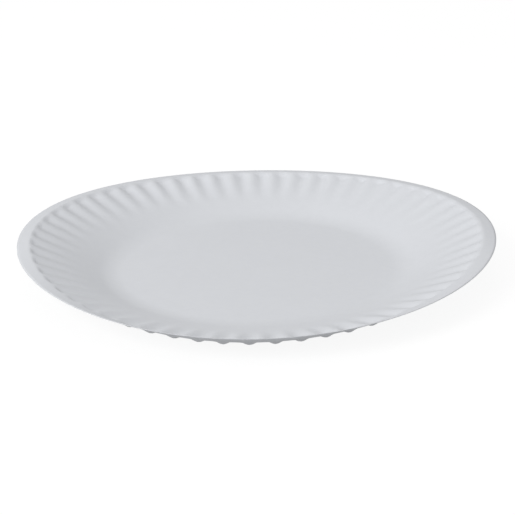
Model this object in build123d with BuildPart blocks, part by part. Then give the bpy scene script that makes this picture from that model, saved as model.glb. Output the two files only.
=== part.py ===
from build123d import *
from math import cos, radians, sin, tan
import os

# Paper plate, pressed between dies from one round blank of white paperboard.
# Millimetres, +Z up. The origin is the centre of the base's underside, and the front faces -Y.

# Sheet and plan
sheet = 0.45          # thickness, measured straight up through the sheet
rim_radius = 114.5    # the cut edge
lip_width = 6.0       # smooth lip between the flutes and the cut edge
wall_width = 37.5     # in from the lip to where wall and base would meet in a sharp corner
base_bend = 6.0       # the corner is eased over this run to each side
base_margin = 4.0     # flat ring that joins the pressed wall to the middle of the base

# Rim: drying has pulled it into a slight saddle, high at both sides, low at front and back
rim_height = 15.2     # mean rise of the cut edge above the base
rim_saddle = 2.8      # rise at the sides, and drop at front and back
lip_fall = 9.0        # degrees that the lip turns down towards its edge
lip_spring = 43.0     # degrees by which the lip has sprung up again at the very front
spring_falloff = 1.5  # power by which that dies away towards the sides

# Flutes: radial waves that take up the spare paper of the blank
flute_count = 60
plain_wall = 7.0      # smooth stretch of wall between the base's bend and the flutes
flute_onset = 4.5     # run in which a flute leaves the plain wall
flute_rise = 0.5      # ridge above the plain wall, at the flutes' deepest
flute_drop = 1.5      # valley below the plain wall, at the flutes' deepest
flute_side_loss = 0.4 # share of their depth that the flutes lack at the very sides
shoulder = 2.0        # run in which the flutes close up into the lip
shoulder_ease = 0.8   # how far each side of the shoulder keeps its direction

crest_radius = rim_radius - lip_width
base_radius = crest_radius - wall_width
flute_start = base_radius + base_bend + plain_wall
flute_full = crest_radius - shoulder

# The wall is lofted through sections a quarter of a flute apart. The loft covers the right half
# and two flutes more at each end, which the trim takes off, so that the halves meet smoothly.
sections_per_flute = 4
section_step = 360 / flute_count / sections_per_flute
half_sections = flute_count // 2 * sections_per_flute
spare_sections = 2 * sections_per_flute


def wall_outline(angle, floor):
    """Corner and control points, out from the base, of one face of the sheet at an angle."""
    turn = radians(angle)
    front = max(0.0, -sin(turn)) ** spring_falloff
    lip_slope = tan(radians(lip_spring * front - lip_fall))
    edge = rim_height + rim_saddle * cos(2 * turn)
    crest = edge - lip_width * lip_slope
    slope = crest / (crest_radius - base_radius)
    mean = (flute_rise - flute_drop) / 2
    swing = (flute_rise + flute_drop) / 2
    kept = 1 - flute_side_loss * cos(turn) ** 2
    wave = kept * (mean - swing * cos(flute_count * radians(angle + 90)))
    flute_leaves = flute_start + flute_onset

    def wall(radius):
        return floor + slope * (radius - base_radius)

    deep = wall(flute_full) + wave
    climb = (deep - wall(flute_leaves)) / (flute_full - flute_leaves)
    return [
        (base_radius - base_bend - base_margin, floor),
        (base_radius - base_bend, floor),
        (base_radius, floor),
        (base_radius + base_bend, wall(base_radius + base_bend)),
        (flute_start, wall(flute_start)),
        (flute_leaves, wall(flute_leaves)),
        (flute_full, deep),
        (flute_full + shoulder_ease, deep + climb * shoulder_ease),
        (crest_radius - shoulder_ease, floor + crest - lip_slope * shoulder_ease),
        (crest_radius, floor + crest),
        (rim_radius, floor + edge),
    ]


with BuildPart() as plate:
    # Wall and lip: sections in planes through the plate's axis, joined into half a ring
    for index in range(-spare_sections, half_sections + spare_sections + 1):
        angle = index * section_step - 90
        outwards = (cos(radians(angle)), sin(radians(angle)), 0)
        sideways = (sin(radians(angle)), -cos(radians(angle)), 0)
        under = wall_outline(angle, 0)
        upper = wall_outline(angle, sheet)
        with BuildSketch(Plane(origin=(0, 0, 0), x_dir=outwards, z_dir=sideways)):
            with BuildLine():
                for face in (under, upper):
                    Line(face[0], face[1])
                    Bezier(face[1], face[2], face[3])
                    Line(face[3], face[4])
                    Bezier(face[4], face[5], face[6])
                    Bezier(face[6], face[7], face[8], face[9])
                    Line(face[9], face[10])
                Line(under[0], upper[0])
                Line(under[-1], upper[-1])
            make_face()
    loft()
    split(bisect_by=Plane.YZ, keep=Keep.TOP)
    mirror(about=Plane.YZ)

    # Base: the flat middle, which runs half way into the wall's own flat ring
    with BuildSketch():
        Circle(base_radius - base_bend - base_margin / 2)
    extrude(amount=sheet)

plate.part.label = "plate"
os.makedirs("parts", exist_ok=True)
export_step(plate.part, "parts/plate.step")
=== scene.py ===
from math import cos, pi, radians, sin

import bpy
from mathutils import Euler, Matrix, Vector


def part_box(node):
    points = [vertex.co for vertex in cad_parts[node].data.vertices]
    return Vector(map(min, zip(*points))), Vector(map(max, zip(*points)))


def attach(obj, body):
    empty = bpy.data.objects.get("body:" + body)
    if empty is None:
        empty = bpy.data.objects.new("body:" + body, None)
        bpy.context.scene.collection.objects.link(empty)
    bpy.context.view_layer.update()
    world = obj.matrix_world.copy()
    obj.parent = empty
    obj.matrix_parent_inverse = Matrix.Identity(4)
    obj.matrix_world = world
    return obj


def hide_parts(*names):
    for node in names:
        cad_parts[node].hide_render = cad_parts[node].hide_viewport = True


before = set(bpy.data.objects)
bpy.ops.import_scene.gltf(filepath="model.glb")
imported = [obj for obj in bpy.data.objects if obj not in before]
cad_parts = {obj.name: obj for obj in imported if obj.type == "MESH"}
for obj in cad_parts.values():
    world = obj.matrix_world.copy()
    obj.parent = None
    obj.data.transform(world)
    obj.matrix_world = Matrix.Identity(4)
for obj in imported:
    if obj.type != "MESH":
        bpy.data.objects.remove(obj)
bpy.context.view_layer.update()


# --- Camera -------------------------------------------------------------------------------------
# A long lens looks down on the plate at a low angle, from a little to its right.
# It aims at the middle of the rim, which stands a rim's height above the base.
plate_low, plate_high = (Vector(corner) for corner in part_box("plate"))
rim_radius = (plate_high.x - plate_low.x) / 2
rim_height = 0.0152
rim_middle = Vector((0.0, 0.0, rim_height))

camera_data = bpy.data.cameras.new("long_lens")
camera_data.lens = 117.7
camera_data.sensor_width = 36.0
camera_data.shift_x = 0.0021
camera_data.shift_y = -0.0365
camera = bpy.data.objects.new("camera", camera_data)
camera_distance = 7.094 * rim_radius
camera_height = radians(20.26)
camera_side = radians(2.1)
camera_roll = radians(-1.16)
towards_camera = Vector((sin(camera_side) * cos(camera_height),
                         -cos(camera_side) * cos(camera_height),
                         sin(camera_height)))
camera.location = rim_middle + towards_camera * camera_distance
look = Euler((pi / 2 - camera_height, 0.0, camera_side)).to_matrix()
camera.rotation_euler = (look @ Euler((0.0, 0.0, camera_roll)).to_matrix()).to_euler()
bpy.context.scene.collection.objects.link(camera)
bpy.context.scene.camera = camera


# --- Plate --------------------------------------------------------------------------------------
# One round blank of white paperboard, pressed between dies into a flat base, a sloping wall with
# radial flutes that take up the spare paper, and a smooth lip. The rim is warped into a slight
# saddle, and its lip springs up at the front. The sheet's two faces and its cut edge are one
# closed skin: a grid whose rows run out over the upper face and back under the lower one.
class Wire:
    """An output socket of a node; arithmetic on wires adds the Math nodes that it needs."""

    def __init__(self, socket):
        self.socket = socket

    @staticmethod
    def node(tree, kind, settings=None, sockets=None, output=0):
        """Add a node, give it its settings, then values or wires for its sockets."""
        node = tree.nodes.new(kind)
        for name, value in (settings or {}).items():
            setattr(node, name, value)
        for name, value in (sockets or {}).items():
            if isinstance(value, Wire):
                tree.links.new(value.socket, node.inputs[name])
            else:
                node.inputs[name].default_value = value
        return Wire(node.outputs[output]) if node.outputs else node

    def output(self, name):
        return Wire(self.socket.node.outputs[name])

    def maths(self, operation, *others):
        sockets = dict(enumerate((self,) + others))
        return Wire.node(self.socket.id_data, "ShaderNodeMath", {"operation": operation}, sockets)

    def turned(self, operation, other):
        sockets = {0: other, 1: self}
        return Wire.node(self.socket.id_data, "ShaderNodeMath", {"operation": operation}, sockets)

    def __add__(self, other):
        return self.maths("ADD", other)

    def __radd__(self, other):
        return self.turned("ADD", other)

    def __sub__(self, other):
        return self.maths("SUBTRACT", other)

    def __rsub__(self, other):
        return self.turned("SUBTRACT", other)

    def __mul__(self, other):
        return self.maths("MULTIPLY", other)

    def __rmul__(self, other):
        return self.turned("MULTIPLY", other)

    def __truediv__(self, other):
        return self.maths("DIVIDE", other)

    def __neg__(self):
        return self.maths("MULTIPLY", -1.0)

    def smooth(self, low, high):
        """0 below low, 1 above high, with an eased step between them."""
        sockets = {"Value": self, "From Min": low, "From Max": high}
        return Wire.node(self.socket.id_data, "ShaderNodeMapRange",
                         {"interpolation_type": "SMOOTHSTEP"}, sockets)


def paperboard():
    """Uncoated white board: a cloudy make, short fibres, and a dull polish where the die pressed."""
    material = bpy.data.materials.new("white_paperboard")
    material.use_nodes = True
    tree = material.node_tree
    tree.nodes.clear()
    place = Wire.node(tree, "ShaderNodeTexCoord", output="Object")

    def noise(where, scale, detail, roughness, output=0):
        return Wire.node(tree, "ShaderNodeTexNoise", {}, {
            "Vector": where, "Scale": scale, "Detail": detail, "Roughness": roughness}, output)

    # Noise scales are in cells to the metre; a fibre is long on its first axis
    cloud_scale, blotch_scale, drift_scale = 260.0, 45.0, 900.0
    fibre_long, fibre_short, fibre_depth = 900.0, 5200.0, 2400.0
    fibre_bend = 0.0012
    cloud = noise(place, cloud_scale, 4.0, 0.6)
    blotch = noise(place, blotch_scale, 2.0, 0.5)
    drift = noise(place, drift_scale, 2.0, 0.5, output="Color")
    bent = Wire.node(tree, "ShaderNodeVectorMath", {"operation": "MULTIPLY_ADD"}, {
        0: drift, 1: (fibre_bend, fibre_bend, fibre_bend), 2: place})
    layers = []
    for stretch in ((fibre_long, fibre_short, fibre_depth), (fibre_short, fibre_long, fibre_depth)):
        stretched = Wire.node(tree, "ShaderNodeVectorMath", {"operation": "MULTIPLY"}, {
            0: bent, 1: stretch})
        layers.append(noise(stretched, 1.0, 3.0, 0.6))
    fibres = (layers[0] + layers[1]) * 0.5
    tone = (cloud * 0.45 + blotch * 0.3 + fibres * 0.25).smooth(0.38, 0.62)
    mix_share, mix_first, mix_second, mix_result = 0, 6, 7, 2  # sockets of a Mix node set to colour
    thick_paper = (0.716, 0.731, 0.762, 1.0)
    thin_paper = (0.728, 0.743, 0.774, 1.0)
    colour = Wire.node(tree, "ShaderNodeMix", {"data_type": "RGBA"}, {
        mix_share: tone, mix_first: thick_paper, mix_second: thin_paper}, output=mix_result)
    roughness = 0.78 + 0.14 * fibres - 0.06 * blotch
    relief = Wire.node(tree, "ShaderNodeBump", {}, {
        "Strength": 0.22, "Distance": 0.00006, "Height": fibres * 0.7 + cloud * 0.3})
    board = Wire.node(tree, "ShaderNodeBsdfPrincipled", {}, {
        "Base Color": colour, "Roughness": roughness, "Normal": relief,
        "Specular IOR Level": 0.25, "Sheen Weight": 0.06, "Sheen Roughness": 0.6})
    Wire.node(tree, "ShaderNodeOutputMaterial", {}, {"Surface": board})
    return material


plate_sizes = {
    "Rim radius": rim_radius,
    "Rim height": rim_height,
    "Rim saddle": 0.0028,
    "Sheet": 0.00045,
    "Edge ease": 0.0001,
    "Lip width": 0.006,
    "Lip fall": radians(9.0),
    "Lip spring": radians(43.0),
    "Spring falloff": 1.5,
    "Base radius": 0.071,
    "Base bend": 0.006,
    "Plain wall": 0.007,
    "Flute count": 60.0,
    "Flute onset": 0.0045,
    "Flute rise": 0.0005,
    "Flute drop": 0.0015,
    "Flute side loss": 0.4,
    "Shoulder": 0.002,
    "Unevenness": 0.12,
}
columns = 480
base_rows = 10
wall_rows = 56
face_rows = base_rows + wall_rows + 1

pressing = bpy.data.node_groups.new("plate_pressing", "GeometryNodeTree")
for size_name in plate_sizes:
    pressing.interface.new_socket(name=size_name, in_out="INPUT", socket_type="NodeSocketFloat")
pressing.interface.new_socket(name="Geometry", in_out="OUTPUT", socket_type="NodeSocketGeometry")
given = Wire.node(pressing, "NodeGroupInput")
size = {size_name: given.output(size_name) for size_name in plate_sizes}

blank = Wire.node(pressing, "GeometryNodeMeshGrid", {}, {
    "Size X": 1.0, "Size Y": 1.0, "Vertices X": columns + 1, "Vertices Y": 2 * face_rows})
place = Wire.node(pressing, "ShaderNodeSeparateXYZ", {}, {
    0: Wire.node(pressing, "GeometryNodeInputPosition")})
turn = (place + 0.5) * (2 * pi)
row = ((place.output("Y") + 0.5) * (2 * face_rows - 1)).maths("ROUND")
step = row.maths("MINIMUM", (2 * face_rows - 1) - row)
side = 1.0 - 2.0 * row.maths("GREATER_THAN", face_rows - 0.5)

flat_radius = size["Base radius"] - size["Base bend"]
wall_run = size["Rim radius"] - size["Edge ease"] - flat_radius
radius = (step.maths("MINIMUM", float(base_rows)) * (flat_radius / base_rows)
          + (step - base_rows).maths("MAXIMUM", 0.0).maths("MINIMUM", float(wall_rows))
          * (wall_run / wall_rows))
at_edge = step.maths("GREATER_THAN", face_rows - 1.5)
radius = radius + at_edge * size["Edge ease"]
half_sheet = size["Sheet"] / 2.0 - at_edge * size["Edge ease"]

# Rim: saddle, lip and the plain wall up to it
front = (-turn.maths("SINE")).maths("MAXIMUM", 0.0).maths("POWER", size["Spring falloff"])
lip_slope = (size["Lip spring"] * front - size["Lip fall"]).maths("TANGENT")
edge = size["Rim height"] + size["Rim saddle"] * (turn * 2.0).maths("COSINE")
crest = edge - size["Lip width"] * lip_slope
crest_radius = size["Rim radius"] - size["Lip width"]
slope = crest / (crest_radius - size["Base radius"])
in_bend = (radius - flat_radius).maths("MAXIMUM", 0.0).maths("MINIMUM", size["Base bend"] * 2.0)
above_bend = (radius - size["Base radius"] - size["Base bend"]).maths("MAXIMUM", 0.0)
plain = slope * (in_bend * in_bend / (size["Base bend"] * 4.0) + above_bend)
lip = crest + (radius - crest_radius) * lip_slope
lip_ease = 0.0006
on_lip = radius.smooth(crest_radius - lip_ease, crest_radius + lip_ease)
formed = plain + (lip - plain) * on_lip

# Flutes: waves that deepen outwards and close up in the shoulder under the lip
outward_scale = 12.0
chance_scale = 7.0
pitch_share = 0.12
depth_share = 2.0
ring_place = Wire.node(pressing, "ShaderNodeCombineXYZ", {}, {
    "X": turn.maths("COSINE"), "Y": turn.maths("SINE"), "Z": radius * outward_scale})
chance = Wire.node(pressing, "ShaderNodeTexNoise", {"noise_dimensions": "3D"}, {
    "Vector": ring_place, "Scale": chance_scale, "Detail": 1.0})
unevenness = (chance - 0.5) * size["Unevenness"]
flute_start = size["Base radius"] + size["Base bend"] + size["Plain wall"]
flute_full = crest_radius - size["Shoulder"]
flute_run = flute_full - flute_start
onset = size["Flute onset"] / flute_run
share = ((radius - flute_start) / flute_run).maths("MAXIMUM", 0.0).maths("MINIMUM", 1.0)
rest = 1.0 - onset * 2.0
along = ((onset * onset + rest * share).maths("SQRT") - onset) / rest
depth = along * along * (1.0 - radius.smooth(flute_full, crest_radius))
phase = (turn + pi / 2 + unevenness * pitch_share) * size["Flute count"]
swing = (size["Flute rise"] + size["Flute drop"]) / 2.0 * (1.0 + unevenness * depth_share)
kept = 1.0 - size["Flute side loss"] * turn.maths("COSINE").maths("POWER", 2.0)
wave = kept * ((size["Flute rise"] - size["Flute drop"]) / 2.0 - swing * phase.maths("COSINE"))

height = formed + wave * depth + size["Sheet"] / 2.0 + side * half_sheet
pressed_place = Wire.node(pressing, "ShaderNodeCombineXYZ", {}, {
    "X": radius * turn.maths("COSINE"), "Y": radius * turn.maths("SINE"), "Z": height})
pressed = Wire.node(pressing, "GeometryNodeSetPosition", {}, {
    "Geometry": blank, "Position": pressed_place})
weld_distance = 0.00001
closed = Wire.node(pressing, "GeometryNodeMergeByDistance", {}, {
    "Geometry": pressed, "Distance": weld_distance})
eased = Wire.node(pressing, "GeometryNodeSetShadeSmooth", {}, {"Geometry": closed})
realized = Wire.node(pressing, "GeometryNodeRealizeInstances", {}, {"Geometry": eased})
finished = Wire.node(pressing, "GeometryNodeSetMaterial", {}, {
    "Geometry": realized, "Material": paperboard()})
Wire.node(pressing, "NodeGroupOutput", {}, {"Geometry": finished})

plate = bpy.data.objects.new("pressed_plate", bpy.data.meshes.new("blank"))
bpy.context.scene.collection.objects.link(plate)
press = plate.modifiers.new("pressing", "NODES")
press.node_group = pressing
for item in pressing.interface.items_tree:
    if item.in_out == "INPUT":
        press[item.identifier] = plate_sizes[item.name]
evaluated = plate.evaluated_get(bpy.context.evaluated_depsgraph_get())
pressed_mesh = bpy.data.meshes.new_from_object(evaluated)
plate.modifiers.remove(press)
plate.data = pressed_mesh
middle_radius = 0.01
middle_faces = [face for face in pressed_mesh.polygons if face.center.xy.length < middle_radius]
if max(middle_faces, key=lambda face: face.center.z).normal.z < 0:
    pressed_mesh.flip_normals()

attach(plate, "root")
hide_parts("plate")


# --- Floor --------------------------------------------------------------------------------------
# A plain white table top just under the plate. It glows nearly as white as the room, so that only
# the plate's soft shadow shows on it.
floor_half = 3.0
floor_gap = 0.0002
floor_grey = 0.60
glow_strength = 1.14
glow_share = 0.8
floor_mesh = bpy.data.meshes.new("floor")
floor_mesh.from_pydata([(-floor_half, -floor_half, 0), (floor_half, -floor_half, 0),
                        (floor_half, floor_half, 0), (-floor_half, floor_half, 0)],
                       [], [(0, 1, 2, 3)])
floor = bpy.data.objects.new("floor", floor_mesh)
floor.location.z = -floor_gap
bpy.context.scene.collection.objects.link(floor)

floor_paint = bpy.data.materials.new("white_table")
floor_paint.use_nodes = True
floor_tree = floor_paint.node_tree
floor_tree.nodes.clear()
ray = Wire.node(floor_tree, "ShaderNodeLightPath", output="Is Camera Ray")
seen = ray + ray.output("Is Glossy Ray") + ray.output("Is Transmission Ray")
table = Wire.node(floor_tree, "ShaderNodeBsdfDiffuse", {}, {
    "Color": (floor_grey, floor_grey, floor_grey, 1.0)})
glow = Wire.node(floor_tree, "ShaderNodeEmission", {}, {
    "Color": (1.0, 1.0, 1.0, 1.0), "Strength": glow_strength})
lit_table = Wire.node(floor_tree, "ShaderNodeMixShader", {}, {
    0: seen * glow_share, 1: table, 2: glow})
Wire.node(floor_tree, "ShaderNodeOutputMaterial", {}, {"Surface": lit_table})
floor_mesh.materials.append(floor_paint)


# --- Light --------------------------------------------------------------------------------------
# A white room gives most of the light. A large soft lamp stands in front and to the left, and a
# weaker one hangs overhead.
world = bpy.data.worlds.new("white_room")
world.use_nodes = True
world_tree = world.node_tree
world_tree.nodes.clear()
room_ray = Wire.node(world_tree, "ShaderNodeLightPath", output="Is Camera Ray")
room_level = 0.50
room = Wire.node(world_tree, "ShaderNodeBackground", {}, {
    "Color": (1.0, 1.0, 1.0, 1.0), "Strength": room_level + (1.0 - room_level) * room_ray})
Wire.node(world_tree, "ShaderNodeOutputWorld", {}, {"Surface": room})
bpy.context.scene.world = world


def soft_lamp(name, place, across, power):
    """A square area lamp that faces the middle of the rim."""
    lamp_data = bpy.data.lights.new(name, "AREA")
    lamp_data.size = across
    lamp_data.energy = power
    lamp = bpy.data.objects.new(name, lamp_data)
    lamp.location = place
    lamp.rotation_euler = (Vector(place) - rim_middle).to_track_quat("Z", "Y").to_euler()
    bpy.context.scene.collection.objects.link(lamp)


soft_lamp("front_left_lamp", (-1.1, -1.15, 1.15), 0.9, 20.0)
soft_lamp("overhead_lamp", (0.0, 0.2, 2.2), 1.2, 4.0)

bpy.context.scene.view_settings.view_transform = "Standard"
